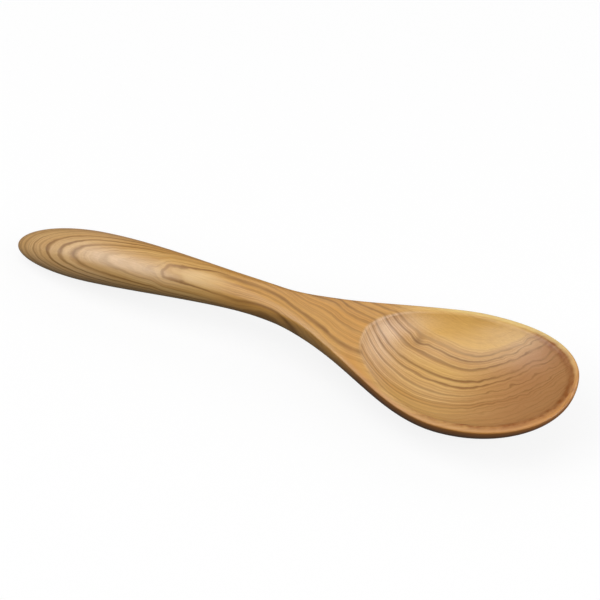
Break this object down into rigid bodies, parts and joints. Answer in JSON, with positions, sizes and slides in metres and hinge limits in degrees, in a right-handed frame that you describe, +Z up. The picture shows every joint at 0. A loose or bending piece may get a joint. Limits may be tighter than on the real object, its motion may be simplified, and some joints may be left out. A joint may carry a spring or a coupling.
{
  "type": "wooden serving spoon",
  "caption": "Serving spoon carved from one piece of olive wood: oval tapering handle, slim neck and an egg-shaped hollowed bowl with a rounded rim.",
  "frame": {"origin": "on the table that the spoon lies on, under the middle of its length", "axes": "+X along the spoon towards the bowl's tip, +Y across it, +Z up out of the bowl"},
  "size_m": [0.255, 0.0652, 0.0268],
  "materials": {
    "olive_wood": "oiled, satin"
  },
  "bodies": {
    "root": {"spoon": "olive_wood"}
  },
  "joints": []
}
